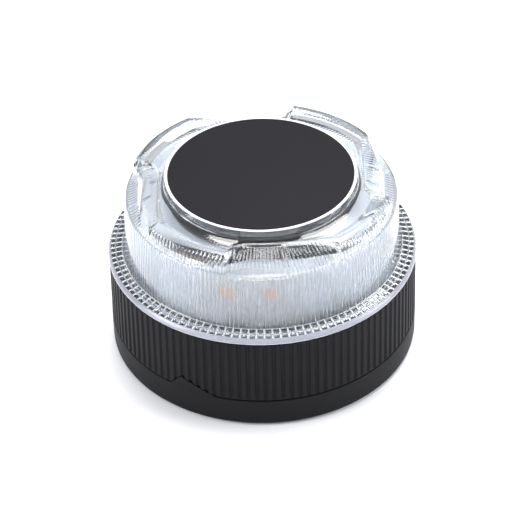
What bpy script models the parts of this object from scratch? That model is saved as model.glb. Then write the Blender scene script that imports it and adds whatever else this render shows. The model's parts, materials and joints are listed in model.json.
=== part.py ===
"""Magnetic LED roof beacon: a ribbed black cup with a clear fluted dome, a twist-off battery
cover with a ramp lug, and a push button in the middle of the underside.

Metres, +Z up. The origin is the middle of the footprint. Angles called "theta" are counted from
the front (-Y) towards +X. Sizes below are in millimetres and are multiplied by MM where used.
"""
import math

import bmesh
import bpy
from mathutils import Matrix, Vector

MM = 0.001
GAP = 0.3

# Battery cover: the smooth lower ring and its floor plate
UNDERSIDE_Z = 0.4
COVER_TOP_Z = 9.84
COVER_RADIUS_TOP = 48.1
COVER_RADIUS_FOOT = 48.0
COVER_FILLET = 1.4
COVER_WALL_INNER = 46.4
COVER_PLATE_TOP = 3.2
COVER_HOLE = 18.2
PAD_GROOVE_INNER = 24.8
PAD_GROOVE_OUTER = 43.2
PAD_GROOVE_TOP = 1.3
PAD_TOP_Z = 1.0
PAD_CHAMFER = 0.3

# Ramp lug on the cover, sitting in a notch of the housing
LUG_LEFT = -36.9
LUG_APEX = -32.2
LUG_RIGHT = -17.8
LUG_TOP_Z = 14.28
THREAD_RISE = (LUG_TOP_Z - COVER_TOP_Z) / (LUG_RIGHT - LUG_APEX)

# Bayonet tabs of the cover
TAB_ANGLES = (55.0, 175.0, 295.0)
TAB_HALF_WIDTH = 4.0
TAB_LOW_Z = 5.6
TAB_HIGH_Z = 7.4

# Grip housing
RIB_COUNT = 115
RIB_DEPTH = 0.55
HOUSING_FOOT_Z = COVER_TOP_Z + GAP
HOUSING_TOP_Z = 31.9
HOUSING_RADIUS_FOOT = 48.05
HOUSING_RADIUS_TOP = 47.7
NECK_RADIUS = 46.0
NECK_INNER = 43.8
NECK_FOOT_Z = 4.3
NECK_TOP_Z = 20.0
DECK_LOW_Z = 25.3
DECK_TOP_Z = 27.1
BOARD_ROOM_RADIUS = 43.6
SEAL_SEAT_RADIUS = 46.3
SEAL_SEAT_Z = 31.1
COLUMN_RADIUS = 17.6
COLUMN_INNER = 16.2
COLUMN_FLOOR_Z = 7.0
GUIDE_RADIUS = 7.0
GUIDE_BORE = 5.9
GUIDE_CEILING_Z = 11.0
WEB = 1.6
STEM_HOLE = 1.9

# Power button in the middle of the underside
BUTTON_RADIUS = 5.6
BUTTON_FACE_Z = 1.5
BUTTON_CAP_TOP_Z = 4.6
BUTTON_STEM = 1.6
CLIP_Z = 13.0
CLIP_NECK = 1.1
BUTTON_STEM_TOP_Z = 22.8

# Lens dome
FLANGE_EDGE_Z = 32.2
FLANGE_RADIUS = 48.0
FLANGE_LIP_RADIUS = 47.8
FLANGE_LIP_Z = 33.2
FLANGE_PRISM_RADIUS = 46.9
FLANGE_PRISM_Z = 34.1
SKIRT_RADIUS = 43.2
SKIRT_FOOT_Z = 30.3
SKIRT_WALL = 1.2
WALL_FOOT_RADIUS = 43.1
WALL_FOOT_Z = 34.8
SCOOP_BASE_RADIUS = 41.6
SCOOP_BASE_Z = 52.7
RING_Z = 57.7
RIDGE_RADIUS = 38.3
RIDGE_RISE = 0.5
RIDGE_BULGE = 1.1
BOSS_FOOT_RADIUS = 30.0
BOSS_TOP_RADIUS = 29.4
BOSS_TOP_Z = 60.3
DISC_SEAT_RADIUS = 28.7
DISC_SEAT_Z = 59.5
DOME_WALL = 2.0
SCOOP_CHORD = 31.7
SCOOP_LEFT = -16.0
SCOOP_TURN = -3.0
SCOOP_COUNT = 4
DOME_STEPS = 80

# Cells: three AA cells in a triangle round the column
CELL_COUNT = 3
CELL_RADIUS = 7.25
CELL_LENGTH = 50.5
CELL_DISTANCE = 26.0
CELL_Z = 13.5
CELL_BAY_HALF = 27.75
CELL_SPRING_ROOM = 4.0

# Lamp tower
DRUM_RADIUS = 38.0
DRUM_INNER = 33.4
DRUM_LOW_Z = 32.7
DRUM_TOP_Z = 48.9
DRUM_ROOF = 1.6
DRUM_ROOF_HOLE = 23.0
FLAT_DISTANCE = 35.3
FLAT_THETA = -6.6
LED_Z = 44.4
LED_OFFSET = 6.5
LED_SIZE = 5.0
LED_BOARD = (26.0, 1.2, 13.0)
BLOCK_LEFT = -51.0
BLOCK_RIGHT = -16.0
BLOCK_RADIUS = 40.3
BLOCK_TOP_Z = 38.2

# Boards, antenna and fasteners
MAIN_BOARD_Z = 28.3
BOARD_THICK = 1.6
SWITCH_TIP_Z = BUTTON_STEM_TOP_Z + 1.1
MAIN_BOARD_RADIUS = 42.0
ANTENNA_BOARD_Z = 49.2
ANTENNA_BOARD_THICK = 1.2
ANTENNA_BOARD_RADIUS = 28.0
PATCH_SIZE = (25.0, 25.0, 4.0)
SCREW_CIRCLE = 36.0
SCREW_THETAS = (0.0, 120.0, 240.0)
SCREW_RADIUS = 1.4
SCREW_HOLE = 1.8
SCREW_HEAD_Z = (23.3, 25.0)
SCREW_TIP_Z = 34.6
POST_RADIUS = 3.2
POST_Z = (30.2, 37.2)

# Top disc
DISC_RADIUS = 28.4
DISC_TOP_Z = 60.25

COLOURS = {
    "black_abs": ((0.016, 0.017, 0.020), 0.55, 0.0),
    "clear_pc": ((0.86, 0.88, 0.92), 0.08, 0.0),
    "white_abs": ((0.80, 0.82, 0.84), 0.45, 0.0),
    "black_print": ((0.020, 0.020, 0.024), 0.38, 0.0),
    "rubber": ((0.020, 0.020, 0.020), 0.85, 0.0),
    "board_black": ((0.014, 0.016, 0.018), 0.40, 0.0),
    "board_white": ((0.78, 0.79, 0.78), 0.45, 0.0),
    "amber_resin": ((0.95, 0.52, 0.10), 0.30, 0.0),
    "steel": ((0.56, 0.56, 0.55), 0.30, 1.0),
    "nickel": ((0.66, 0.64, 0.60), 0.22, 1.0),
    "ceramic": ((0.55, 0.47, 0.36), 0.60, 0.0),
    "cell_wrap": ((0.10, 0.12, 0.16), 0.35, 0.0),
    "orange_abs": ((0.80, 0.20, 0.02), 0.45, 0.0),
}


def clear_scene():
    for thing in list(bpy.data.objects):
        bpy.data.objects.remove(thing, do_unlink=True)


def material(kind):
    found = bpy.data.materials.get(kind)
    if found:
        return found
    colour, roughness, metallic = COLOURS[kind]
    made = bpy.data.materials.new(kind)
    made.use_nodes = True
    shader = made.node_tree.nodes["Principled BSDF"]
    shader.inputs["Base Color"].default_value = (*colour, 1.0)
    shader.inputs["Roughness"].default_value = roughness
    shader.inputs["Metallic"].default_value = metallic
    made.diffuse_color = (*colour, 1.0)
    return made


def around(radius, theta, z):
    """A point at a radius, an angle from the front and a height, in metres."""
    turn = math.radians(theta)
    return Vector((radius * math.sin(turn), -radius * math.cos(turn), z)) * MM


def facing(theta):
    """Rotation that turns the -Y side of a piece to face theta."""
    return Matrix.Rotation(math.radians(theta), 4, "Z")


def finish(bm, name, kind):
    """Make a closed, outward-facing, smooth-shaded object from a bmesh."""
    bmesh.ops.remove_doubles(bm, verts=bm.verts, dist=0.00001)
    bmesh.ops.recalc_face_normals(bm, faces=bm.faces)
    mesh = bpy.data.meshes.new(name)
    bm.to_mesh(mesh)
    bm.free()
    mesh.materials.append(material(kind))
    mesh.shade_smooth()
    mesh.set_sharp_from_angle(angle=math.radians(32))
    piece = bpy.data.objects.new(name, mesh)
    bpy.context.scene.collection.objects.link(piece)
    return piece


def lathe(name, kind, profile, steps):
    """Turn a profile of (radius, z) points round the Z axis. A profile whose ends are both
    on the axis makes a solid of turning; any other profile is closed into a ring."""
    bm = bmesh.new()
    points = [bm.verts.new((r * MM, 0.0, z * MM)) for r, z in profile]
    pairs = list(zip(points, points[1:]))
    if profile[0][0] > 0.0 or profile[-1][0] > 0.0:
        pairs.append((points[-1], points[0]))
    edges = [bm.edges.new(pair) for pair in pairs]
    bmesh.ops.spin(bm, geom=points + edges, axis=(0, 0, 1), cent=(0, 0, 0),
                   angle=math.tau, steps=steps, use_merge=True)
    return finish(bm, name, kind)


def block(name, kind, size, centre, bevel=0.0, theta=0.0):
    """A box of size (x, y, z) about its centre, turned to face theta about the Z axis."""
    bm = bmesh.new()
    bmesh.ops.create_cube(bm, size=1.0)
    bmesh.ops.scale(bm, vec=Vector(size) * MM, verts=bm.verts)
    if bevel:
        bmesh.ops.bevel(bm, geom=bm.edges, offset=bevel * MM, offset_type="OFFSET", segments=2,
                        profile=0.5, affect="EDGES", material=-1, clamp_overlap=True)
    bmesh.ops.translate(bm, vec=Vector(centre) * MM, verts=bm.verts)
    bmesh.ops.rotate(bm, cent=(0, 0, 0), matrix=facing(theta), verts=bm.verts)
    return finish(bm, name, kind)


def rod(name, kind, radius, low, high, centre=(0.0, 0.0), steps=24):
    """An upright cylinder."""
    piece = lathe(name, kind, ((0.0, high), (radius, high), (radius, low), (0.0, low)), steps)
    piece.data.transform(Matrix.Translation(Vector((centre[0], centre[1], 0.0)) * MM))
    return piece


def arc_block(name, kind, inner, outer, stations):
    """A curved block: each station is (theta, low z, high z)."""
    bm = bmesh.new()
    rows = []
    for theta, low, high in stations:
        corners = ((inner, low), (outer, low), (outer, high), (inner, high))
        rows.append([bm.verts.new(around(r, theta, z)) for r, z in corners])
    for row, after in zip(rows, rows[1:]):
        for i in range(4):
            k = (i + 1) % 4
            bm.faces.new((row[i], row[k], after[k], after[i]))
    bm.faces.new(rows[0])
    bm.faces.new(reversed(rows[-1]))
    return finish(bm, name, kind)


def combine(piece, tool, operation):
    """Join a shape to a piece, or cut it away, and hide the tool."""
    change = piece.modifiers.new(tool.name, "BOOLEAN")
    change.operation = operation
    change.solver = "EXACT"
    change.object = tool
    tool.hide_render = True
    tool.display_type = "WIRE"


def coil(name, kind, radius, wire, low, high, turns):
    """A round-wire compression spring with its axis on Z, as one closed tube."""
    bm = bmesh.new()
    sides = 5
    rings = []
    count = int(turns * 10)
    for i in range(count + 1):
        turn = math.tau * turns * i / count
        z = low + wire + (high - low - 2 * wire) * i / count
        out = Vector((math.cos(turn), math.sin(turn), 0.0))
        ring = []
        for k in range(sides):
            tilt = math.tau * k / sides
            offset = out * (radius + wire * math.cos(tilt)) + Vector((0, 0, z + wire * math.sin(tilt)))
            ring.append(bm.verts.new(offset * MM))
        rings.append(ring)
    for ring, after in zip(rings, rings[1:]):
        for k in range(sides):
            j = (k + 1) % sides
            bm.faces.new((ring[k], ring[j], after[j], after[k]))
    bm.faces.new(rings[0])
    bm.faces.new(reversed(rings[-1]))
    return finish(bm, name, kind)


def empty(name, place):
    """An axis marker that moving pieces hang from."""
    marker = bpy.data.objects.new(name, None)
    marker.location = Vector(place) * MM
    marker.empty_display_size = 0.01
    bpy.context.scene.collection.objects.link(marker)
    return marker


def hang(piece, marker):
    piece.parent = marker
    piece.matrix_parent_inverse = Matrix.Translation(-marker.location)


# ---------------------------------------------------------------- lens dome

def scoop_edge(theta):
    """Radius of the top edge of the outer wall: a chord in each scoop, the ridge elsewhere."""
    span = 360.0 / SCOOP_COUNT
    theta = (theta + span / 2) % span - span / 2
    if theta <= SCOOP_LEFT:
        return RIDGE_RADIUS
    if theta < SCOOP_TURN:
        u = (SCOOP_TURN - theta) / (SCOOP_TURN - SCOOP_LEFT)
        return SCOOP_CHORD + (RIDGE_RADIUS - SCOOP_CHORD) * (1.0 - math.sqrt(1.0 - u * u))
    return min(RIDGE_RADIUS, SCOOP_CHORD / math.cos(math.radians(theta)))


def dome_section(theta):
    """Outer then inner outline of the dome at one angle, from the axis back to the axis."""
    edge = scoop_edge(theta)
    full = (edge - SCOOP_CHORD) / (RIDGE_RADIUS - SCOOP_CHORD)
    crest = RING_Z + RIDGE_RISE * full
    bulge = RIDGE_BULGE * full
    run = SCOOP_BASE_RADIUS - edge
    drop = crest - SCOOP_BASE_Z
    outer = [
        (0.0, DISC_SEAT_Z),
        (DISC_SEAT_RADIUS, DISC_SEAT_Z),
        (DISC_SEAT_RADIUS, BOSS_TOP_Z - 0.1),
        (BOSS_TOP_RADIUS, BOSS_TOP_Z - 0.1),
        (BOSS_FOOT_RADIUS, RING_Z),
        (edge, crest),
        (edge + 0.4 * run + bulge, crest - 0.25 * drop),
        (edge + 0.7 * run + bulge, crest - 0.6 * drop),
        (SCOOP_BASE_RADIUS, SCOOP_BASE_Z),
        (WALL_FOOT_RADIUS, WALL_FOOT_Z),
        (FLANGE_PRISM_RADIUS, FLANGE_PRISM_Z),
        (FLANGE_LIP_RADIUS, FLANGE_LIP_Z),
        (FLANGE_RADIUS, FLANGE_EDGE_Z),
        (SKIRT_RADIUS, FLANGE_EDGE_Z),
        (SKIRT_RADIUS, SKIRT_FOOT_Z),
    ]
    inner = [
        (SKIRT_RADIUS - SKIRT_WALL, SKIRT_FOOT_Z),
        (SKIRT_RADIUS - SKIRT_WALL - 0.1, FLANGE_EDGE_Z - 0.3),
        (WALL_FOOT_RADIUS - DOME_WALL, FLANGE_EDGE_Z + 0.3),
        (SCOOP_BASE_RADIUS - DOME_WALL, SCOOP_BASE_Z - 1.2),
        (min(edge - 0.6, SCOOP_BASE_RADIUS - DOME_WALL), RING_Z - DOME_WALL),
        (BOSS_FOOT_RADIUS - DOME_WALL, RING_Z - DOME_WALL),
        (BOSS_FOOT_RADIUS - DOME_WALL, DISC_SEAT_Z - DOME_WALL),
        (0.0, DISC_SEAT_Z - DOME_WALL),
    ]
    return outer + inner


def lens_dome():
    """Clear cap: boss for the disc, four scoops between four full-height lobes, and a flange."""
    bm = bmesh.new()
    rows = []
    for step in range(DOME_STEPS):
        theta = 360.0 * step / DOME_STEPS
        rows.append([bm.verts.new(around(r, theta, z)) for r, z in dome_section(theta)[1:-1]])
    top = bm.verts.new((0.0, 0.0, DISC_SEAT_Z * MM))
    under = bm.verts.new((0.0, 0.0, (DISC_SEAT_Z - DOME_WALL) * MM))
    for row, after in zip(rows, rows[1:] + rows[:1]):
        bm.faces.new((top, row[0], after[0]))
        bm.faces.new((under, after[-1], row[-1]))
        for i in range(len(row) - 1):
            bm.faces.new((row[i], row[i + 1], after[i + 1], after[i]))
    return finish(bm, "lens_dome", "clear_pc")


# ---------------------------------------------------------------- grip housing

def ribbed_wall():
    """Outer wall with vertical grip ribs, slightly wider at the foot."""
    bm = bmesh.new()
    low = []
    high = []
    for rib in range(RIB_COUNT):
        for share, depth in ((0.0, RIB_DEPTH), (0.5, 0.0)):
            theta = 360.0 * (rib + share) / RIB_COUNT
            low.append(bm.verts.new(around(HOUSING_RADIUS_FOOT - depth, theta, HOUSING_FOOT_Z)))
            high.append(bm.verts.new(around(HOUSING_RADIUS_TOP - depth, theta, HOUSING_TOP_Z)))
    count = len(low)
    for i in range(count):
        k = (i + 1) % count
        bm.faces.new((low[i], low[k], high[k], high[i]))
    bm.faces.new(list(reversed(low)))
    bm.faces.new(high)
    return finish(bm, "grip_housing", "black_abs")


def lug_stations(room, low):
    """Outline of the ramp lug in steps of theta, grown by a clearance for its notch."""
    left = LUG_LEFT - room / 0.6
    right = LUG_RIGHT + room / 0.3
    top = LUG_TOP_Z + room
    stations = [(left, low, COVER_TOP_Z), (LUG_APEX - room / 2, low, top)]
    steps = 4
    for i in range(1, steps + 1):
        share = i / steps
        theta = LUG_APEX + (right - LUG_APEX) * share
        stations.append((theta, low, top + (COVER_TOP_Z - top) * share))
    return stations


def groove_stations(theta):
    """Slanted bayonet groove, open at the foot of the neck."""
    room = 0.45
    left = theta - TAB_HALF_WIDTH - 0.6
    right = theta + TAB_HALF_WIDTH + 0.6
    foot = NECK_FOOT_Z - 1.0
    top = TAB_HIGH_Z + room
    end = right + (top - NECK_FOOT_Z + 0.5) / THREAD_RISE
    steps = 10
    stations = []
    for i in range(steps + 1):
        at = left + (end - left) * i / steps
        low = max(foot, TAB_LOW_Z - room - THREAD_RISE * (at - left))
        stations.append((at, low, min(top, top - THREAD_RISE * (at - right))))
    return stations


def grip_housing():
    """Black cup: ribbed wall, neck for the cover, deck, button column and cell end walls."""
    housing = ribbed_wall()
    inside = lathe("cut_board_room", "black_abs", (
        (0.0, HOUSING_TOP_Z + 1), (SEAL_SEAT_RADIUS, HOUSING_TOP_Z + 1), (SEAL_SEAT_RADIUS, SEAL_SEAT_Z),
        (BOARD_ROOM_RADIUS, SEAL_SEAT_Z), (BOARD_ROOM_RADIUS, DECK_TOP_Z), (0.0, DECK_TOP_Z)), 48)
    combine(housing, inside, "DIFFERENCE")
    combine(housing, arc_block("cut_lug_notch", "black_abs", NECK_RADIUS - 0.5, 50.0,
                               lug_stations(GAP, COVER_TOP_Z - 1)), "DIFFERENCE")
    neck = lathe("add_neck", "black_abs", (
        (NECK_RADIUS, NECK_TOP_Z), (NECK_RADIUS, NECK_FOOT_Z), (NECK_INNER, NECK_FOOT_Z),
        (NECK_INNER, NECK_TOP_Z)), 64)
    combine(housing, neck, "UNION")
    bay = lathe("cut_cell_room", "black_abs", (
        (NECK_INNER, DECK_LOW_Z), (NECK_INNER, 1.0), (COLUMN_RADIUS, 1.0), (COLUMN_RADIUS, DECK_LOW_Z)), 48)
    combine(housing, bay, "DIFFERENCE")
    column = lathe("add_column", "black_abs", (
        (COLUMN_RADIUS, DECK_LOW_Z + 0.8), (COLUMN_RADIUS, UNDERSIDE_Z), (COLUMN_INNER, UNDERSIDE_Z),
        (COLUMN_INNER, COLUMN_FLOOR_Z), (GUIDE_RADIUS, COLUMN_FLOOR_Z), (GUIDE_RADIUS, 1.4),
        (GUIDE_BORE, 1.4), (GUIDE_BORE, GUIDE_CEILING_Z), (STEM_HOLE, GUIDE_CEILING_Z),
        (STEM_HOLE, GUIDE_CEILING_Z + WEB), (GUIDE_RADIUS, GUIDE_CEILING_Z + WEB),
        (GUIDE_RADIUS, COLUMN_FLOOR_Z + WEB), (COLUMN_INNER, COLUMN_FLOOR_Z + WEB),
        (COLUMN_INNER, DECK_LOW_Z + 0.8)), 48)
    shaft = rod("cut_column_shaft", "black_abs", COLUMN_INNER, -5.0, DECK_TOP_Z + 1, steps=48)
    combine(housing, shaft, "DIFFERENCE")
    combine(housing, column, "UNION")
    for number, theta in enumerate(TAB_ANGLES, 1):
        groove = arc_block(f"cut_groove_{number}", "black_abs", NECK_RADIUS - 1.25, NECK_RADIUS + 0.3,
                           groove_stations(theta))
        combine(housing, groove, "DIFFERENCE")
    for cell in range(CELL_COUNT):
        theta = 60.0 + 120.0 * cell
        for end, side in ((1, -1.0), (2, 1.0)):
            wall = block(f"add_end_wall_{cell + 1}_{end}", "black_abs", (1.4, 10.0, DECK_LOW_Z - 6.0),
                         (side * (CELL_BAY_HALF + 0.9), -CELL_DISTANCE, DECK_LOW_Z / 2 + 3.4), theta=theta)
            combine(housing, wall, "UNION")
    for number, theta in enumerate(SCREW_THETAS, 1):
        spot = around(SCREW_CIRCLE, theta, 0.0) / MM
        hole = rod(f"cut_screw_hole_{number}", "black_abs", SCREW_HOLE, DECK_LOW_Z - 4, DECK_TOP_Z + 2,
                   spot[:2], steps=16)
        combine(housing, hole, "DIFFERENCE")
    return housing


# ---------------------------------------------------------------- battery cover

def battery_cover(marker):
    """Lower ring with floor plate, ramp lug and three bayonet tabs."""
    outline = [(COVER_WALL_INNER, COVER_TOP_Z), (COVER_WALL_INNER, COVER_PLATE_TOP),
               (COVER_HOLE, COVER_PLATE_TOP), (COVER_HOLE, UNDERSIDE_Z),
               (PAD_GROOVE_INNER, UNDERSIDE_Z), (PAD_GROOVE_INNER, PAD_GROOVE_TOP),
               (PAD_GROOVE_OUTER, PAD_GROOVE_TOP), (PAD_GROOVE_OUTER, UNDERSIDE_Z)]
    for step in range(3):
        turn = math.radians(90.0 * step / 2)
        outline.append((COVER_RADIUS_FOOT - COVER_FILLET * (1 - math.sin(turn)),
                        UNDERSIDE_Z + COVER_FILLET * (1 - math.cos(turn))))
    outline.append((COVER_RADIUS_TOP, COVER_TOP_Z - 0.3))
    outline.append((COVER_RADIUS_TOP - 0.3, COVER_TOP_Z))
    cover = lathe("battery_cover", "black_abs", outline, 64)
    lug = arc_block("add_lug", "black_abs", COVER_WALL_INNER, COVER_RADIUS_TOP - 0.05,
                    lug_stations(0.0, COVER_TOP_Z - 1.5))
    combine(cover, lug, "UNION")
    for number, theta in enumerate(TAB_ANGLES, 1):
        stations = [(theta + side * TAB_HALF_WIDTH, TAB_LOW_Z, TAB_HIGH_Z) for side in (-1, 0, 1)]
        tab = arc_block(f"add_tab_{number}", "black_abs", NECK_RADIUS - 0.85, COVER_WALL_INNER + 0.5, stations)
        combine(cover, tab, "UNION")
    hang(cover, marker)
    inner = PAD_GROOVE_INNER + GAP
    outer = PAD_GROOVE_OUTER - GAP
    foot = lathe("foot_ring", "rubber", (
        (outer, PAD_TOP_Z), (outer, PAD_CHAMFER), (outer - PAD_CHAMFER, 0.0), (inner + PAD_CHAMFER, 0.0),
        (inner, PAD_CHAMFER), (inner, PAD_TOP_Z)), 48)
    hang(foot, marker)


def cover_gasket(marker):
    outer = COVER_WALL_INNER - GAP - 0.3
    inner = NECK_INNER + 0.2
    low = COVER_PLATE_TOP + GAP
    high = NECK_FOOT_Z - GAP
    ring = lathe("cover_gasket", "rubber", ((outer, high), (outer, low), (inner, low), (inner, high)), 48)
    hang(ring, marker)


# ---------------------------------------------------------------- button

def power_button(marker):
    """Cap and long stem in one moulding, its clip, and the return spring round the stem."""
    cap = lathe("power_button", "orange_abs", (
        (0.0, BUTTON_STEM_TOP_Z), (BUTTON_STEM, BUTTON_STEM_TOP_Z), (BUTTON_STEM, CLIP_Z + 0.7),
        (CLIP_NECK, CLIP_Z + 0.7), (CLIP_NECK, CLIP_Z - 0.1), (BUTTON_STEM, CLIP_Z - 0.1),
        (BUTTON_STEM, BUTTON_CAP_TOP_Z), (BUTTON_RADIUS, BUTTON_CAP_TOP_Z),
        (BUTTON_RADIUS, BUTTON_FACE_Z + 0.5), (BUTTON_RADIUS - 0.5, BUTTON_FACE_Z), (0.0, BUTTON_FACE_Z)), 32)
    clip = lathe("button_clip", "steel", (
        (3.0, CLIP_Z + 0.5), (3.0, CLIP_Z), (CLIP_NECK + 0.25, CLIP_Z), (CLIP_NECK + 0.25, CLIP_Z + 0.5)), 24)
    spring = coil("button_spring", "steel", 3.6, 0.3, BUTTON_CAP_TOP_Z + 0.1, GUIDE_CEILING_Z - 0.1, 4.0)
    for piece in (cap, clip, spring):
        hang(piece, marker)


# ---------------------------------------------------------------- magnet in the column

def magnet_stack():
    """Ring magnet under a steel keeper, closed by a rubber pad that grips the roof."""
    outer = COLUMN_INNER - GAP
    inner = GUIDE_RADIUS + 0.5
    for name, kind, low, high in (("keeper_plate", "steel", 5.3, 6.7), ("ring_magnet", "nickel", 1.3, 5.0)):
        lathe(name, kind, ((outer, high), (outer, low), (inner, low), (inner, high)), 48)
    lathe("magnet_pad", "rubber", (
        (outer, PAD_TOP_Z), (outer, PAD_CHAMFER), (outer - PAD_CHAMFER, 0.0), (inner + PAD_CHAMFER, 0.0),
        (inner, PAD_CHAMFER), (inner, PAD_TOP_Z)), 48)


# ---------------------------------------------------------------- cells and contacts

def cells():
    """Three cells nose to tail round the column, each with a coil spring and a contact plate."""
    for cell in range(CELL_COUNT):
        number = cell + 1
        turn = facing(60.0 + 120.0 * cell)
        back = -CELL_BAY_HALF + CELL_SPRING_ROOM
        lay = Matrix.Translation(Vector((0.0, -CELL_DISTANCE, CELL_Z)) * MM) @ Matrix.Rotation(
            math.radians(90.0), 4, "Y")
        body = lathe(f"battery_cell_{number}", "cell_wrap", (
            (0.0, back + CELL_LENGTH), (2.7, back + CELL_LENGTH), (2.7, back + CELL_LENGTH - 1.4),
            (CELL_RADIUS - 0.6, back + CELL_LENGTH - 1.4), (CELL_RADIUS, back + CELL_LENGTH - 2.0),
            (CELL_RADIUS, back + 0.5), (CELL_RADIUS - 0.6, back), (0.0, back)), 24)
        spring = coil(f"cell_spring_{number}", "nickel", 3.4, 0.35, -CELL_BAY_HALF + 0.5, back - 0.1, 3.0)
        body.data.transform(turn @ lay)
        spring.data.transform(turn @ lay)
        block(f"cell_contact_{number}", "nickel", (0.4, 9.0, 11.0),
              (CELL_BAY_HALF - 0.3, -CELL_DISTANCE, CELL_Z), theta=60.0 + 120.0 * cell)


# ---------------------------------------------------------------- boards and lamp tower

def main_board():
    board = lathe("main_board", "board_black", (
        (0.0, MAIN_BOARD_Z + BOARD_THICK), (MAIN_BOARD_RADIUS, MAIN_BOARD_Z + BOARD_THICK),
        (MAIN_BOARD_RADIUS, MAIN_BOARD_Z), (0.0, MAIN_BOARD_Z)), 64)
    for number, theta in enumerate(SCREW_THETAS, 1):
        spot = around(SCREW_CIRCLE, theta, 0.0) / MM
        hole = rod(f"cut_board_hole_{number}", "board_black", SCREW_HOLE, MAIN_BOARD_Z - 1, MAIN_BOARD_Z + 3,
                   spot[:2], steps=16)
        combine(board, hole, "DIFFERENCE")
        low, high = SCREW_HEAD_Z
        screw = rod(f"carrier_screw_{number}", "steel", SCREW_RADIUS, (low + high) / 2, SCREW_TIP_Z,
                    spot[:2], steps=16)
        head = rod(f"add_screw_head_{number}", "steel", SCREW_RADIUS + 1.3, low, high, spot[:2], steps=20)
        combine(screw, head, "UNION")
    under = MAIN_BOARD_Z - GAP
    over = MAIN_BOARD_Z + BOARD_THICK + GAP
    switch = block("tact_switch", "black_abs", (6.2, 6.2, 3.4), (0.0, 0.0, under - 1.7))
    tip = rod("add_switch_tip", "black_abs", 1.6, SWITCH_TIP_Z, SWITCH_TIP_Z + 1.2, steps=16)
    combine(switch, tip, "UNION")
    block("modem_shield", "nickel", (20.0, 16.0, 2.4), (-14.0, 14.0, over + 1.2))
    block("board_capacitor", "black_abs", (9.0, 7.0, 3.0), (16.0, 12.0, over + 1.5))
    strip = ANTENNA_BOARD_Z - GAP - over
    block("flex_link", "orange_abs", (8.0, 0.3, strip), (0.0, -21.0, over + strip / 2))


def led_carrier():
    """White lamp tower: a drum with four flats for the lamp boards and four outer blocks."""
    drum = lathe("led_carrier", "white_abs", (
        (DRUM_RADIUS, DRUM_TOP_Z), (DRUM_RADIUS, DRUM_LOW_Z), (DRUM_INNER, DRUM_LOW_Z),
        (DRUM_INNER, DRUM_TOP_Z - DRUM_ROOF), (DRUM_ROOF_HOLE, DRUM_TOP_Z - DRUM_ROOF),
        (DRUM_ROOF_HOLE, DRUM_TOP_Z)), 64)
    span = 360.0 / SCOOP_COUNT
    for side in range(SCOOP_COUNT):
        turn = side * span
        left = BLOCK_LEFT + turn
        right = BLOCK_RIGHT + turn
        steps = 8
        stations = [(left + (right - left) * i / steps, DRUM_LOW_Z, BLOCK_TOP_Z) for i in range(steps + 1)]
        outer = arc_block(f"add_block_{side + 1}", "white_abs", DRUM_INNER + 1, BLOCK_RADIUS, stations)
        combine(drum, outer, "UNION")
        flat = block(f"cut_flat_{side + 1}", "white_abs", (27.0, 8.0, 14.0),
                     (0.0, -FLAT_DISTANCE - 4.0, LED_Z), theta=FLAT_THETA + turn)
        combine(drum, flat, "DIFFERENCE")
    for number, theta in enumerate(SCREW_THETAS, 1):
        spot = around(SCREW_CIRCLE, theta, 0.0) / MM
        post = rod(f"add_post_{number}", "white_abs", POST_RADIUS, *POST_Z, spot[:2], steps=20)
        combine(drum, post, "UNION")
        pilot = rod(f"cut_pilot_{number}", "white_abs", SCREW_RADIUS + GAP, POST_Z[0] - 1, SCREW_TIP_Z + 0.7,
                    spot[:2], steps=16)
        combine(drum, pilot, "DIFFERENCE")
    return drum


def lamp_boards():
    """A white board with two amber lamps on each flat of the tower."""
    number = 0
    for side in range(SCOOP_COUNT):
        theta = FLAT_THETA + 360.0 / SCOOP_COUNT * side
        face = FLAT_DISTANCE + GAP + LED_BOARD[1]
        block(f"lamp_board_{side + 1}", "board_white", LED_BOARD,
              (0.0, -face + LED_BOARD[1] / 2, LED_Z), theta=theta)
        for offset in (-LED_OFFSET, LED_OFFSET):
            number += 1
            block(f"amber_lamp_{number}", "amber_resin", (LED_SIZE, 1.3, LED_SIZE),
                  (offset, -face - 0.1 - 0.65, LED_Z), theta=theta)


def antenna():
    """Board on top of the tower with a ceramic patch that looks up through the disc."""
    low = ANTENNA_BOARD_Z
    high = low + ANTENNA_BOARD_THICK
    rim = ANTENNA_BOARD_RADIUS
    lathe("antenna_board", "board_black", ((0.0, high), (rim, high), (rim, low), (0.0, low)), 48)
    block("patch_antenna", "ceramic", PATCH_SIZE, (0.0, 0.0, high + 0.1 + PATCH_SIZE[2] / 2))


def disc_and_seals():
    low = DISC_SEAT_Z + GAP
    lathe("label_disc", "black_print", (
        (0.0, DISC_TOP_Z), (DISC_RADIUS - 0.15, DISC_TOP_Z), (DISC_RADIUS, DISC_TOP_Z - 0.15),
        (DISC_RADIUS, low), (0.0, low)), 64)
    outer = SEAL_SEAT_RADIUS - GAP
    inner = SKIRT_RADIUS + GAP
    low = SEAL_SEAT_Z + 0.2
    high = FLANGE_EDGE_Z - 0.2
    lathe("lens_gasket", "rubber", ((outer, high), (outer, low), (inner, low), (inner, high)), 48)


def build():
    clear_scene()
    drop_axis = empty("cover_drop_axis", (0.0, 0.0, COVER_PLATE_TOP))
    twist_axis = empty("cover_twist_axis", (0.0, 0.0, COVER_PLATE_TOP))
    press_axis = empty("button_axis", (0.0, 0.0, BUTTON_FACE_Z))
    lens_dome()
    disc_and_seals()
    grip_housing()
    magnet_stack()
    cells()
    main_board()
    led_carrier()
    lamp_boards()
    antenna()
    cover_gasket(drop_axis)
    battery_cover(twist_axis)
    power_button(press_axis)


build()
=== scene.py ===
"""Looks of a magnetic LED hazard beacon: a clear fluted dome over white and amber lamp parts, a flat
black disc on top, a black base with grip ribs, and a battery cover below.

Lengths are in millimetres where a name or comment doesn't say otherwise, and MM turns them to metres.
Theta is an angle in degrees from the front (-Y) towards +X.
"""
import json
import math

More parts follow.
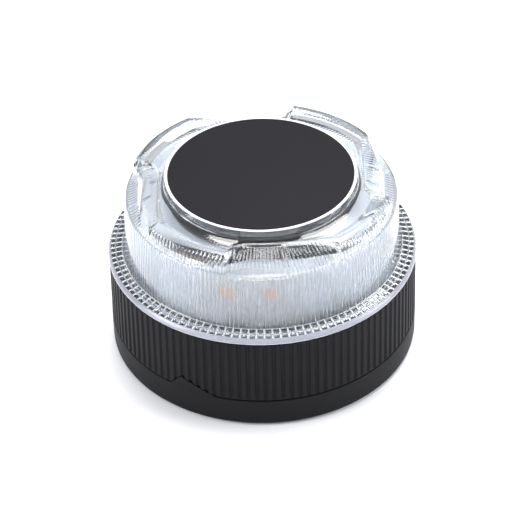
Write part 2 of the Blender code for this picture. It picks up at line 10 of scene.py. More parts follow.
import bmesh
import bpy
from mathutils import Matrix, Vector


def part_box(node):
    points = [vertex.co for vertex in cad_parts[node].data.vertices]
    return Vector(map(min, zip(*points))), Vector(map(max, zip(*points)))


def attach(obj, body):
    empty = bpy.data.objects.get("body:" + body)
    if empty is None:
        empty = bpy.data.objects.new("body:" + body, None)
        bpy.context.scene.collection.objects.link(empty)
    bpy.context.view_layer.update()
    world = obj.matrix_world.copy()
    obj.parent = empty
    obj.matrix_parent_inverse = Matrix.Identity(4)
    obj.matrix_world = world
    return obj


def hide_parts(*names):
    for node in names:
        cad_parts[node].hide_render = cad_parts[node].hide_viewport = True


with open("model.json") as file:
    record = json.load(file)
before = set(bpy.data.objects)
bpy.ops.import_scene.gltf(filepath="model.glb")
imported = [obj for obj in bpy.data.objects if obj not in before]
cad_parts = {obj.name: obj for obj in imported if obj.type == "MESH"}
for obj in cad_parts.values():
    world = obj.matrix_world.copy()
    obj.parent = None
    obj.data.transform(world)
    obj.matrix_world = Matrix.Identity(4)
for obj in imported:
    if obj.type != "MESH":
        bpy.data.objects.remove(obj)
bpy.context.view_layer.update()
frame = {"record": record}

MM = 0.001
BODY_OF = {node: body for body, nodes in frame["record"]["behaviour"]["bodies"].items() for node in nodes}


def extent(node):
    """Lowest and highest corner of a CAD node, in millimetres."""
    low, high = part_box(node)
    return low / MM, high / MM


# ------------------------------------------------------------------ driving dimensions

COVER_LOW, COVER_HIGH = extent("battery_cover")
HOUSING_TOP_Z = extent("grip_housing")[1].z
DOME_FOOT_Z = extent("lens_dome")[0].z
DISC_LOW, DISC_HIGH = extent("label_disc")
BUTTON_LOW, BUTTON_HIGH = extent("power_button")

# Battery cover and its ramp lug
COVER_RADIUS = COVER_HIGH.x
UNDERSIDE_Z = COVER_LOW.z
SEAM_Z = 9.84
LUG_TOP_Z = COVER_HIGH.z
LUG_LEFT = -36.9
LUG_APEX = -32.2
LUG_RIGHT = -17.8
STEEP_FLANK = 0.6
SHALLOW_FLANK = 0.3
THREAD_RISE = (LUG_TOP_Z - SEAM_Z) / (LUG_RIGHT - LUG_APEX)
SEAM_GAP = 0.3
COVER_WALL_INNER = 46.4
COVER_PLATE_TOP = 3.2
COVER_HOLE = 18.2
COVER_FILLET = 1.4
FOOT_SEAT = (24.8, 43.2, 1.3)
TAB_ANGLES = (55.0, 175.0, 295.0)
TAB_HALF_WIDTH = 4.0
TAB_LOW_Z = 5.6
TAB_HIGH_Z = 7.4

# Grip housing
RIB_COUNT = 115
RIB_DEPTH = 0.5
RIB_CROWN_FOOT = 48.08
RIB_CROWN_TOP = 47.75
NECK_RADIUS = 46.0
NECK_INNER = 43.8
NECK_FOOT_Z = 4.3
DECK_LOW_Z = 25.3
DECK_TOP_Z = 27.1
SEAL_SEAT_RADIUS = 46.3
SEAL_SEAT_Z = 31.1
BOARD_ROOM_RADIUS = 43.6
COLUMN_RADIUS = 17.6
COLUMN_INNER = 16.2
COLUMN_FLOOR_Z = 7.0
GUIDE_RADIUS = 7.0
GUIDE_BORE = 5.9
GUIDE_CEILING_Z = 11.0
STEM_RADIUS = 1.6
STEM_NECK_RADIUS = 1.1
STEM_NECK_LOW_Z = 12.9
STEM_NECK_TOP_Z = 13.7
BUTTON_CAP_TOP_Z = 4.6
WEB = 1.6
STEM_HOLE = 1.9
CELL_DISTANCE = 26.0
CELL_Z = 13.5
CELL_BAY_HALF = 27.75
CELL_ANGLES = (60.0, 180.0, 300.0)
CELL_LENGTH = 50.5
CELL_RADIUS = 7.25
CELL_SPRING_ROOM = 4.0
MAGNET_BORE = 7.5
SCREW_CIRCLE = 36.0
SCREW_HOLE = 1.8
THIRDS = (0.0, 120.0, 240.0)

# Dome
FLANGE_EDGE_Z = 32.2
FLANGE_RADIUS = 48.0
SKIRT_RADIUS = 43.2
WALL_FOOT_RADIUS = 43.1
WALL_FOOT_Z = 34.8
SCOOP_BASE_RADIUS = 41.6
SCOOP_BASE_Z = 52.7
RING_Z = 57.55
RIDGE_RADIUS = 38.3
RIDGE_RISE = 0.85
BOSS_FOOT_RADIUS = 30.0
BOSS_INNER_RADIUS = 28.5
LOBE_FOOT_RADIUS = 31.0
LOBE_BULGE = 1.25
SCOOP_HOLLOW = 0.25
DISC_SEAT_Z = 59.5
RIM_Z = 60.2
DOME_WALL = 2.0
SCOOP_CHORD = 31.7
SCOOP_LEFT = -16.0
SCOOP_TURN = -3.0
BAR_THETA = 10.5
BAR_HEIGHT = 0.75
BAR_HALF_WIDTH = 1.0
SCOOPS = 4
FLUTES = 200
PRISMS = 120
PRISM_LINE = 0.31
CELL_RELIEF = 0.15
OUTER_FLUTE = 0.16
INNER_FLUTE = 0.30
DOME_STEPS = 1200
# The third finish slot is a painted highlight on the clear dome's edges and prism lines
IN_CLEAR, IN_MILKY, IN_PAINTED_HIGHLIGHT, IN_LIP, IN_PRISM = range(5)

# Lamp tower
DRUM_RADIUS = 38.0
DRUM_INNER = 33.4
DRUM_HOLE = 23.0
DRUM_LOW_Z = 32.7
FLAT_DISTANCE = 35.3
FLAT_THETA = -6.6
LAMP_Z = 44.4
LAMP_OFFSET = 6.5
LAMP_THICK = 1.2
LAMP_GAP = 0.15
STRIP_THICK = 1.2
STRIP_GAP = 0.3
BLOCK_LEFT = -51.0
BLOCK_RIGHT = -16.0
BLOCK_RADIUS = 40.3
BLOCK_TOP_Z = 38.2


# ------------------------------------------------------------------ colours and materials

# Sockets of a colour Mix node
FACTOR, COLOUR_A, COLOUR_B, MIXED = 0, 6, 7, 2


def linear(code):
    """An sRGB hex colour as linear RGBA."""
    parts = [int(code[i:i + 2], 16) / 255.0 for i in (1, 3, 5)]
    turned_linear = [c / 12.92 if c <= 0.04045 else ((c + 0.055) / 1.055) ** 2.4 for c in parts]
    return (*turned_linear, 1.0)


def add(tree, kind, links=None, **settings):
    """Add a node with its settings; each entry of links is a value or another node's output."""
    made = tree.nodes.new(kind)
    for name, value in settings.items():
        setattr(made, name, value)
    for key, value in (links or {}).items():
        if isinstance(value, bpy.types.NodeSocket):
            tree.links.new(value, made.inputs[key])
        else:
            made.inputs[key].default_value = value
    return made


def finish_start(name, **sockets):
    """A material with its shader's constants set. Returns the material, its tree, its shader and
    the Object coordinates in millimetres."""
    made = bpy.data.materials.new(name)
    made.use_nodes = True
    tree = made.node_tree
    shader = tree.nodes["Principled BSDF"]
    for key, value in sockets.items():
        shader.inputs[key.replace("_", " ")].default_value = value
    place = add(tree, "ShaderNodeTexCoord")
    scaled = add(tree, "ShaderNodeMapping", {"Vector": place.outputs["Object"], "Scale": (1000.0,) * 3})
    return made, tree, shader, scaled.outputs["Vector"]


def grained_plastic(name, dark, light, roughness, grain, depth, **sockets):
    """Moulded plastic: a spark-eroded grain of the given size in mm, with faint clouding."""
    made, tree, shader, place = finish_start(name, Roughness=roughness, **sockets)
    cloud = add(tree, "ShaderNodeTexNoise", {"Vector": place, "Scale": 0.09, "Detail": 3.0})
    mix = add(tree, "ShaderNodeMix", data_type="RGBA",
              links={FACTOR: cloud.outputs["Fac"], COLOUR_A: linear(dark), COLOUR_B: linear(light)})
    tree.links.new(mix.outputs[MIXED], shader.inputs["Base Color"])
    fine = add(tree, "ShaderNodeTexNoise", {"Vector": place, "Scale": 1.0 / grain, "Detail": 2.0})
    rough = add(tree, "ShaderNodeMapRange", {"Value": fine.outputs["Fac"], "To Min": roughness - 0.06,
                                             "To Max": roughness + 0.06})
    tree.links.new(rough.outputs["Result"], shader.inputs["Roughness"])
    bump = add(tree, "ShaderNodeBump", {"Height": fine.outputs["Fac"], "Strength": 0.35,
                                        "Distance": depth * MM})
    tree.links.new(bump.outputs["Normal"], shader.inputs["Normal"])
    return made


def clear_polycarbonate(name, tint, through, smoothest, roughest):
    """Moulded polycarbonate: the share of light that goes through, and its haze from a tool
    polished by hand."""
    made, tree, shader, place = finish_start(
        name, Base_Color=linear(tint), Roughness=smoothest, IOR=1.585, Transmission_Weight=through)
    haze = add(tree, "ShaderNodeTexNoise", {"Vector": place, "Scale": 0.25, "Detail": 2.0})
    rough = add(tree, "ShaderNodeMapRange", {"Value": haze.outputs["Fac"], "To Min": smoothest,
                                             "To Max": roughest})
    tree.links.new(rough.outputs["Result"], shader.inputs["Roughness"])
    return made


def solder_mask(name, mask, trace, roughness):
    """Circuit board lacquer over copper: tracks 0.5 mm wide show as slightly lighter lines."""
    made, tree, shader, place = finish_start(name, Roughness=roughness, Coat_Weight=0.3)
    tracks = add(tree, "ShaderNodeTexBrick", {"Vector": place, "Scale": 0.22, "Mortar Size": 0.06,
                                              "Mortar Smooth": 0.1, "Color1": linear(mask),
                                              "Color2": linear(mask), "Mortar": linear(trace)})
    tree.links.new(tracks.outputs["Color"], shader.inputs["Base Color"])
    bump = add(tree, "ShaderNodeBump", {"Height": tracks.outputs["Fac"], "Strength": 0.3,
                                        "Distance": 0.03 * MM})
    tree.links.new(bump.outputs["Normal"], shader.inputs["Normal"])
    return made


def brushed_metal(name, dark, light, roughness, stretch):
    """Bare or plated metal with fine drawing lines; stretch gives their direction in mm."""
    made, tree, shader, place = finish_start(name, Metallic=1.0, Roughness=roughness)
    drawn = add(tree, "ShaderNodeMapping", {"Vector": place, "Scale": stretch})
    lines = add(tree, "ShaderNodeTexNoise", {"Vector": drawn.outputs["Vector"], "Scale": 1.0, "Detail": 3.0})
    tone = add(tree, "ShaderNodeMix", data_type="RGBA",
               links={FACTOR: lines.outputs["Fac"], COLOUR_A: linear(dark), COLOUR_B: linear(light)})
    tree.links.new(tone.outputs[MIXED], shader.inputs["Base Color"])
    rough = add(tree, "ShaderNodeMapRange", {"Value": lines.outputs["Fac"], "To Min": roughness - 0.08,
                                             "To Max": roughness + 0.08})
    tree.links.new(rough.outputs["Result"], shader.inputs["Roughness"])
    return made


# Black ABS with a fine spark-eroded grain: matt, a little lighter where light rakes it
BLACK_ABS = grained_plastic("moulded_black_abs", "#0f0f12", "#141418", 0.55, 0.35, 0.05,
                            Specular_IOR_Level=0.14)
# Silk-screened polycarbonate disc: dense blue-black ink under a satin face
BLACK_DISC = grained_plastic("satin_black_disc", "#19181c", "#1b1a1e", 0.60, 0.2, 0.01,
                             Specular_IOR_Level=0.08)
CLEAR = clear_polycarbonate("clear_polycarbonate", "#f7fafd", 1.0, 0.02, 0.08)
# Inner face of the wall: finely textured, so that it scatters part of the light
MILKY = clear_polycarbonate("textured_polycarbonate", "#eef4fc", 0.70, 0.30, 0.40)
# Painted highlight: a pale, half-opaque finish on the prism lines of the flange, the lip round the disc and
# the flange's outer edge, where the light is caught
PAINTED_HIGHLIGHT_EDGE = clear_polycarbonate("painted_highlight_edge", "#eef1f6", 0.30, 0.25, 0.35)
# Outer lip of the flange, satin from the tool
GREY_LIP = clear_polycarbonate("satin_lip", "#c3c5d0", 0.60, 0.15, 0.25)
# White diffuser ABS: bright, soft, a little light goes through it
WHITE_ABS = grained_plastic("white_diffuser_abs", "#e9edf4", "#f6f8fb", 0.42, 0.5, 0.02,
                            Subsurface_Weight=0.15, Subsurface_Radius=(0.004, 0.004, 0.005))
RUBBER = grained_plastic("moulded_black_rubber", "#151515", "#222221", 0.78, 0.5, 0.08)
SILICONE = grained_plastic("grey_silicone_seal", "#4a4c50", "#5a5c60", 0.55, 0.4, 0.02)
ORANGE_ABS = grained_plastic("moulded_orange_abs", "#d9540f", "#e8641a", 0.40, 0.35, 0.03)
CERAMIC = grained_plastic("fired_antenna_ceramic", "#b49a78", "#c4ad8d", 0.60, 0.3, 0.03)
SLEEVE = grained_plastic("printed_cell_sleeve", "#20242c", "#2a2f38", 0.30, 0.8, 0.01, Coat_Weight=0.5)
SLEEVE_BAND = grained_plastic("copper_coloured_sleeve_band", "#b06a34", "#bd7740", 0.30, 0.8, 0.01,
                              Coat_Weight=0.5)
AMBER = grained_plastic("amber_phosphor_resin", "#ff9a20", "#ffab38", 0.30, 0.2, 0.01)
LAMP_BODY = grained_plastic("white_lamp_package", "#e8e8e2", "#f2f2ee", 0.35, 0.2, 0.01)
BLACK_MASK = solder_mask("black_solder_mask", "#101214", "#1c2022", 0.38)
WHITE_MASK = solder_mask("white_solder_mask", "#ececea", "#dededa", 0.40)
NICKEL = brushed_metal("nickel_plate", "#b9b4a8", "#d6d1c6", 0.24, (0.3, 0.3, 4.0))
STEEL = brushed_metal("drawn_spring_steel", "#8f9092", "#b5b6b8", 0.32, (0.4, 0.4, 3.0))
ZINC = brushed_metal("zinc_plated_steel", "#9a9da0", "#c3c6c8", 0.30, (0.5, 3.0, 0.5))
TIN = brushed_metal("tinned_contact", "#a8abad", "#cfd1d2", 0.35, (3.0, 0.5, 0.5))
SILVER = brushed_metal("silver_ink", "#c9c9c6", "#dedddb", 0.38, (1.0, 1.0, 1.0))


# ------------------------------------------------------------------ shaping helpers

def around(radius, theta, z):
    """A point at a radius, an angle from the front and a height, in metres."""
    turn = math.radians(theta)
    return Vector((radius * math.sin(turn), -radius * math.cos(turn), z)) * MM


def facing(theta):
    """Turns the -Y side of a piece to face theta."""
    return Matrix.Rotation(math.radians(theta), 4, "Z")


def soften(corners, segments=4):
    """An outline of (x, y) or (x, y, fillet) corners with an arc at each corner that has a fillet.
    Corners that are neighbours round the whole outline count as neighbours."""
    outline = []
    count = len(corners)
    for i, corner in enumerate(corners):
        if len(corner) == 2:
            outline.append(tuple(corner))
            continue
        here = Vector(corner[:2])
        back = (Vector(corners[i - 1][:2]) - here).normalized()
        ahead = (Vector(corners[(i + 1) % count][:2]) - here).normalized()
        half = back.angle(ahead) / 2
        reach = corner[2] / math.tan(half)
        middle = here + (back + ahead).normalized() * corner[2] / math.sin(half)
        start = here + back * reach - middle
        end = here + ahead * reach - middle
        for step in range(segments + 1):
            spoke = start.slerp(end, step / segments).normalized() * corner[2]
            outline.append(tuple(middle + spoke))
    return outline


def object_from(bm, name, material, sharp=35.0):
    """Close, orient and smooth a bmesh, and make it a piece."""
    bmesh.ops.remove_doubles(bm, verts=bm.verts, dist=1e-6)
    bmesh.ops.recalc_face_normals(bm, faces=bm.faces)
    mesh = bpy.data.meshes.new(name)
    bm.to_mesh(mesh)
    bm.free()
    for finish in material if isinstance(material, (list, tuple)) else (material,):
        mesh.materials.append(finish)
    mesh.shade_smooth()
    mesh.set_sharp_from_angle(angle=math.radians(sharp))
    piece = bpy.data.objects.new(name, mesh)
    bpy.context.scene.collection.objects.link(piece)
    return piece


def turned(name, material, outline, steps=192, sharp=35.0):
    """Spin an outline of (radius, z) points round the Z axis. One that starts and ends on the
    axis makes a solid; any other is closed into a ring."""
    bm = bmesh.new()
    points = [bm.verts.new((r * MM, 0.0, z * MM)) for r, z in outline]
    pairs = list(zip(points, points[1:]))
    if outline[0][0] > 0.0 or outline[-1][0] > 0.0:
        pairs.append((points[-1], points[0]))
    edges = [bm.edges.new(pair) for pair in pairs]
    bmesh.ops.spin(bm, geom=points + edges, axis=(0, 0, 1), cent=(0, 0, 0), angle=math.tau,
                   steps=steps, use_merge=True)
    return object_from(bm, name, material, sharp)


def box_mesh(bm, size, centre, bevel=0.0, segments=2, theta=0.0):
    """Add a box about its centre to a bmesh, with rounded edges, turned to face theta."""
    made = bmesh.ops.create_cube(bm, size=1.0)["verts"]
    bmesh.ops.scale(bm, vec=Vector(size) * MM, verts=made)
    if bevel:
        edges = list({edge for vert in made for edge in vert.link_edges})
        result = bmesh.ops.bevel(bm, geom=edges, offset=bevel * MM, offset_type="OFFSET", segments=segments,
                                 profile=0.5, affect="EDGES", material=-1, clamp_overlap=True)
        made = list({vert for face in result["faces"] for vert in face.verts}
                    | {vert for vert in made if vert.is_valid})
    bmesh.ops.translate(bm, vec=Vector(centre) * MM, verts=made)
    bmesh.ops.rotate(bm, cent=(0, 0, 0), matrix=facing(theta), verts=made)
    return made


def box_piece(name, material, size, centre, bevel=0.0, segments=2, theta=0.0):
    """A box as a piece of its own."""
    bm = bmesh.new()
    box_mesh(bm, size, centre, bevel, segments, theta)
    return object_from(bm, name, material)


def upright(name, material, radius, low, high, centre=(0.0, 0.0), steps=48, fillet=0.0):
    """An upright rod with rounded rims."""
    corners = [(0.0, high), (radius, high, fillet), (radius, low, fillet), (0.0, low)]
    if not fillet:
        corners = [corner[:2] for corner in corners]
    piece = turned(name, material, soften(corners), steps)
    piece.data.transform(Matrix.Translation(Vector((centre[0], centre[1], 0.0)) * MM))
    return piece


def arc_block(name, material, inner, outer, stations):
    """A curved block: each station is (theta, low z, high z)."""
    bm = bmesh.new()
    rows = []
    for theta, low, high in stations:
        corners = ((inner, low), (outer, low), (outer, high), (inner, high))
        rows.append([bm.verts.new(around(r, theta, z)) for r, z in corners])
    for row in (rows[0], rows[-1]):
        bm.faces.new(row)
    for row, after in zip(rows, rows[1:]):
        first = [bm.edges.get(pair) or bm.edges.new(pair) for pair in zip(row, row[1:] + row[:1])]
        second = [bm.edges.get(pair) or bm.edges.new(pair) for pair in zip(after, after[1:] + after[:1])]
        bmesh.ops.bridge_loops(bm, edges=first + second)
    return object_from(bm, name, material)


def fit_together(piece, tool, operation):
    """Join a shape to a piece or cut it away, for good."""
    change = piece.modifiers.new("fit", "BOOLEAN")
    change.operation = operation
    change.solver = "EXACT"
    change.object = tool
    shaped = bpy.data.meshes.new_from_object(piece.evaluated_get(bpy.context.evaluated_depsgraph_get()))
    piece.modifiers.clear()
    piece.data = shaped
    bpy.data.objects.remove(tool, do_unlink=True)
    return piece


def smooth_again(piece, sharp=35.0):
    """Shade a piece smooth up to its sharp edges, after shapes were joined or cut."""
    piece.data.shade_smooth()
    piece.data.set_sharp_from_angle(angle=math.radians(sharp))
    return piece


def stand_for(piece, node):
    """The piece takes a CAD node's place and its body."""
    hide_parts(node)
    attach(piece, BODY_OF[node])
    return piece


def wire_coil(name, material, radius, wire, low, high, turns, flat_turns=0.9):
    """A compression spring with closed ends, swept round a helix on the Z axis."""
    bm = bmesh.new()
    sides = 10
    per_turn = 28
    count = int((turns + 2 * flat_turns) * per_turn)
    rings = []
    for i in range(count + 1):
        winds = i / per_turn
        rise = min(max(winds - flat_turns, 0.0), turns) / turns
        closed = min(winds, flat_turns) + max(winds - flat_turns - turns, 0.0)
        z = low + wire + (high - low - 2 * wire - 2 * flat_turns * 1.9 * wire) * rise + closed * 1.9 * wire
        out = Vector((math.cos(math.tau * winds), math.sin(math.tau * winds), 0.0))
        ring = []
        for k in range(sides):
            tilt = math.tau * k / sides
            spot = out * (radius + wire * math.cos(tilt)) + Vector((0, 0, z + wire * math.sin(tilt)))
            ring.append(bm.verts.new(spot * MM))
        rings.append(ring)
    for ring in (rings[0], rings[-1]):
        bm.faces.new(ring)
    for ring, after in zip(rings, rings[1:]):
        for k in range(sides):
            j = (k + 1) % sides
            bm.faces.new((ring[k], ring[j], after[j], after[k]))
    return object_from(bm, name, material, 60.0)


# ------------------------------------------------------------------ dome

def scoop_edge(theta):
    """Radius of the wall's top edge, and how much of the full lobe stands there (0 to 1)."""
    span = 360.0 / SCOOPS
    theta = (theta + span / 2) % span - span / 2
    if theta <= SCOOP_LEFT:
        edge = RIDGE_RADIUS
    elif theta < SCOOP_TURN:
        u = (SCOOP_TURN - theta) / (SCOOP_TURN - SCOOP_LEFT)
        edge = SCOOP_CHORD + (RIDGE_RADIUS - SCOOP_CHORD) * (1.0 - math.sqrt(max(0.0, 1.0 - u * u)))
    else:
        edge = min(RIDGE_RADIUS, SCOOP_CHORD / math.cos(math.radians(theta)))
    return edge, (edge - SCOOP_CHORD) / (RIDGE_RADIUS - SCOOP_CHORD)


def off_centre(theta, pitch):
    """Distance in degrees to the nearest multiple of a pitch."""
    return abs((theta + pitch / 2) % pitch - pitch / 2)


def peak(theta, pitch, half_width):
    """1 at each multiple of a pitch, falling to 0 at half the width to either side."""
    return max(0.0, 1.0 - off_centre(theta, pitch) / half_width)


def dome_outside(theta):
    """Outline of the dome's outer face at one angle, from the axis down to the flange edge. Each
    point is (radius, z, finish of the band that starts there)."""
    edge, full = scoop_edge(theta)
    crest = RING_Z + 0.15 + RIDGE_RISE * full
    run = SCOOP_BASE_RADIUS - 0.7 - edge
    drop = crest - SCOOP_BASE_Z - 0.35
    bulge = LOBE_BULGE * full - SCOOP_HOLLOW * (1.0 - full)
    bar = BAR_HEIGHT * peak(theta - BAR_THETA, 360.0 / SCOOPS, BAR_HALF_WIDTH) ** 0.5
    # The boss's inner wall and the rim round the disc carry a painted highlight
    outline = [
        (0.0, DISC_SEAT_Z, IN_PAINTED_HIGHLIGHT), (BOSS_INNER_RADIUS, DISC_SEAT_Z, IN_PAINTED_HIGHLIGHT),
        (BOSS_INNER_RADIUS, RIM_Z - 0.1, IN_PAINTED_HIGHLIGHT),
        (28.6, RIM_Z, IN_PAINTED_HIGHLIGHT), (29.25, RIM_Z, IN_PAINTED_HIGHLIGHT), (29.4, RIM_Z - 0.15, IN_CLEAR),
        (29.65, RIM_Z - 1.4, IN_CLEAR), (29.9, RING_Z + 0.5, IN_CLEAR), (30.4, RING_Z + 0.05, IN_CLEAR),
        (LOBE_FOOT_RADIUS - 0.2 * (1 - full), RING_Z - 0.2, IN_CLEAR),
        (edge - 0.45 * (edge - LOBE_FOOT_RADIUS) - 0.1, RING_Z - 0.25 * full - 0.1, IN_CLEAR),
        (edge - 0.2 * (edge - LOBE_FOOT_RADIUS) - 0.15, RING_Z + 0.55 * (crest - RING_Z), IN_CLEAR),
        (edge - 0.06 * (edge - LOBE_FOOT_RADIUS) - 0.1, crest - 0.02, IN_CLEAR),
        (edge + 0.1, crest - 0.05, IN_CLEAR),
    ]
    ripple = OUTER_FLUTE * abs(math.sin(math.radians(theta) * FLUTES / 2))
    for share in (0.08, 0.2, 0.35, 0.5, 0.65, 0.8, 0.92):
        swell = math.sin(math.pi * share ** 0.8)
        proud = ripple * min(1.0, 5.0 * share)
        ends = min(1.0, 6.0 * share, 12.0 * (1 - share))
        outline.append((edge + run * share + bulge * swell + proud + bar * ends,
                        crest - drop * share ** (1.0 + 0.6 * full), IN_CLEAR))
    outline += [
        (SCOOP_BASE_RADIUS - 0.55 + 0.2 * full, SCOOP_BASE_Z + 0.2, IN_CLEAR),
        (SCOOP_BASE_RADIUS - 0.15, SCOOP_BASE_Z + 0.1, IN_CLEAR),
        (SCOOP_BASE_RADIUS + 0.05, SCOOP_BASE_Z - 0.2, IN_CLEAR),
    ]
    wall = WALL_FOOT_RADIUS - SCOOP_BASE_RADIUS
    for share in (0.2, 0.4, 0.6, 0.8, 0.95):
        outline.append((SCOOP_BASE_RADIUS + 0.1 + (wall - 0.1) * share,
                        SCOOP_BASE_Z - (SCOOP_BASE_Z - WALL_FOOT_Z) * share, IN_CLEAR))
    outline += [(WALL_FOOT_RADIUS + 0.12, WALL_FOOT_Z + 0.2, IN_CLEAR)]
    z = FLANGE_EDGE_Z
    cell = CELL_RELIEF * (off_centre(theta, 360.0 / PRISMS) > PRISM_LINE)
    # Painted highlight on the step up to the flange, on the prism lines and on the flange's outer edge
    outline += [(43.5, z + 2.5, IN_PAINTED_HIGHLIGHT)]
    inner_row = ((43.62, 2.48), (44.5, 2.28), (45.38, 2.12))
    outer_row = ((45.82, 2.05), (46.5, 1.94), (47.08, 1.84))
    outline += [(r, z + rise - cell, IN_PRISM) for r, rise in inner_row]
    outline += [(45.4, z + 2.12, IN_LIP)]
    outline += [(r, z + rise - cell, IN_PRISM) for r, rise in outer_row]
    outline += [(47.1, z + 1.84, IN_LIP)]
    outline += [(r, z + rise, IN_LIP) for r, rise in (
        (47.3, 1.75), (47.75, 1.2), (47.9, 0.9), (FLANGE_RADIUS, 0.6))]
    outline += [(FLANGE_RADIUS, z + 0.25, IN_PAINTED_HIGHLIGHT), (47.85, z, IN_CLEAR)]
    return outline


def dome_inside(theta):
    """Outline of the underside and inner face, from the flange edge back to the axis."""
    edge, full = scoop_edge(theta)
    flute = INNER_FLUTE * abs(math.sin(math.radians(theta) * FLUTES / 2))
    z = FLANGE_EDGE_Z
    outline = [
        (47.3, z, IN_CLEAR), (43.5, z, IN_CLEAR), (SKIRT_RADIUS, z - 0.1, IN_CLEAR),
        (SKIRT_RADIUS, DOME_FOOT_Z + 0.15, IN_CLEAR),
        (SKIRT_RADIUS - 0.15, DOME_FOOT_Z, IN_CLEAR), (SKIRT_RADIUS - 1.05, DOME_FOOT_Z, IN_CLEAR),
        (SKIRT_RADIUS - 1.2, DOME_FOOT_Z + 0.15, IN_MILKY), (SKIRT_RADIUS - 1.4, z - 0.1, IN_MILKY)]
    low = WALL_FOOT_RADIUS - DOME_WALL
    high = SCOOP_BASE_RADIUS - DOME_WALL
    for share in (0.0, 0.2, 0.4, 0.6, 0.8, 0.95):
        outline.append((low + (high - low) * share + flute,
                        z + 0.7 + (SCOOP_BASE_Z - 1.8 - z) * share, IN_MILKY))
    crown = RING_Z - DOME_WALL
    shoulder = min(edge + 0.3, high - 0.2)
    outline += [
        (high - 0.1 + flute - 0.35 * (high - shoulder) * (1 - full), SCOOP_BASE_Z - 0.9, IN_CLEAR),
        (0.5 * (high + shoulder) + flute,
         0.5 * (SCOOP_BASE_Z + crown) - 0.4 + 0.7 * full, IN_CLEAR),
        (shoulder - 0.2 + 0.6 * flute, crown - 0.5, IN_CLEAR), (shoulder - 1.2, crown, IN_CLEAR),
        (BOSS_FOOT_RADIUS - 1.0, crown, IN_CLEAR), (BOSS_FOOT_RADIUS - 1.6, crown + 0.3, IN_CLEAR),
        (BOSS_FOOT_RADIUS - 1.9, DISC_SEAT_Z - 2.1, IN_CLEAR),
        (BOSS_FOOT_RADIUS - 2.2, DISC_SEAT_Z - 2.0, IN_CLEAR),
        (0.0, DISC_SEAT_Z - 2.0, IN_CLEAR),
    ]
    return outline


def fluted_dome():
    """Clear dome: boss, four scoops each with an upright bar, four lobes, a wall fluted on its inner
    face, and a flange with two rows of cells on top, parted by radial lines with a painted highlight."""
    bm = bmesh.new()
    station = bm.verts.layers.int.new("station")
    section = dome_outside(0.0) + dome_inside(0.0)
    points = []
    for i, (r, z, _) in enumerate(section):
        point = bm.verts.new(around(r, 0.0, z))
        point[station] = i
        points.append(point)
    edges = [bm.edges.new(pair) for pair in zip(points, points[1:])]
    bmesh.ops.spin(bm, geom=points + edges, axis=(0, 0, 1), cent=(0, 0, 0), angle=math.tau,
                   steps=DOME_STEPS, use_merge=True)
    pitch = 360.0 / PRISMS
    for face in bm.faces:
        centre = face.calc_center_median()
        finish = section[min(vert[station] for vert in face.verts)][2]
        if finish == IN_PRISM:
            theta = math.degrees(math.atan2(centre.x, -centre.y))
            # Prism lines carry a painted highlight; the cells between them stay clear
            finish = IN_PAINTED_HIGHLIGHT if off_centre(theta, pitch) < PRISM_LINE else IN_CLEAR
        face.material_index = finish
    sections = {}
    for vert in bm.verts:
        step = round(math.degrees(math.atan2(vert.co.x, -vert.co.y)) * DOME_STEPS / 360.0) % DOME_STEPS
        theta = step * 360.0 / DOME_STEPS
        if step not in sections:
            sections[step] = dome_outside(theta) + dome_inside(theta)
        r, z, _ = sections[step][vert[station]]
        vert.co = around(r, theta, z)
    dome = object_from(bm, "fluted_dome", (CLEAR, MILKY, PAINTED_HIGHLIGHT_EDGE, GREY_LIP), 28.0)
    return stand_for(dome, "lens_dome")


def top_disc():
    """Flat black disc in the boss, with no lettering."""
    low, high = DISC_LOW.z, DISC_HIGH.z
    edge = DISC_HIGH.x
    disc = turned("top_disc", BLACK_DISC, soften(
        [(0.0, high), (edge, high, 0.18), (edge, low, 0.1), (0.0, low)]), 256)
    stand_for(disc, "label_disc")


# ------------------------------------------------------------------ grip housing

def rib_profile(share):
    """Height of a grip rib (0 in the groove, 1 on its crown) across one pitch (0 to 1)."""
    rise = min(max((0.5 - abs(share - 0.5) - 0.12) / 0.16, 0.0), 1.0)
    return rise * rise * (3.0 - 2.0 * rise)


def ribbed_wall():
    """Ring with grip ribs outside that run out into a plain rim at the top and the foot; inside, the
    seat of the dome's seal over the board room."""
    bm = bmesh.new()
    per_rib = 10
    count = RIB_COUNT * per_rib
    foot = SEAM_Z + SEAM_GAP
    top = HOUSING_TOP_Z
    inside = 45.0
    levels = ((foot, 0.25, 0.0), (foot + 0.25, 0.0, 0.6), (foot + 0.7, 0.0, 1.0), (top - 0.7, 0.0, 1.0),
              (top - 0.35, 0.0, 0.6), (top, 0.3, 0.0))
    rows = []
    for z, chamfer, ribbed in levels:
        share = (z - foot) / (top - foot)
        crown = RIB_CROWN_FOOT + (RIB_CROWN_TOP - RIB_CROWN_FOOT) * share - chamfer
        rows.append([(crown - RIB_DEPTH * (1.0 - rib_profile((i % per_rib) / per_rib)) * ribbed, z)
                     for i in range(count)])
    for point in ((SEAL_SEAT_RADIUS, top), (SEAL_SEAT_RADIUS, SEAL_SEAT_Z),
                  (inside, SEAL_SEAT_Z), (inside, foot)):
        rows.append([point] * count)
    rings = [[bm.verts.new(around(r, 360.0 * i / count, z)) for i, (r, z) in enumerate(row)]
             for row in rows]
    for low, high in zip(rings, rings[1:] + rings[:1]):
        for i in range(count):
            k = (i + 1) % count
            bm.faces.new((low[i], low[k], high[k], high[i]))
    return object_from(bm, "grip_shell", BLACK_ABS)


def lug_stations(room, low):
    """Outline of the ramp lug along theta, grown by a clearance where it is the notch."""
    left = LUG_LEFT - room / STEEP_FLANK
    right = LUG_RIGHT + room / SHALLOW_FLANK
    top = LUG_TOP_Z + room
    stations = [(left, low, SEAM_Z),
                (left + 0.5 * (LUG_APEX - left), low, SEAM_Z + 0.5 * (top - SEAM_Z)),
                (LUG_APEX - room / 2, low, top)]
    steps = 12
    for i in range(1, steps + 1):
        share = i / steps
        stations.append((LUG_APEX + (right - LUG_APEX) * share, low, top + (SEAM_Z - top) * share))
    return stations


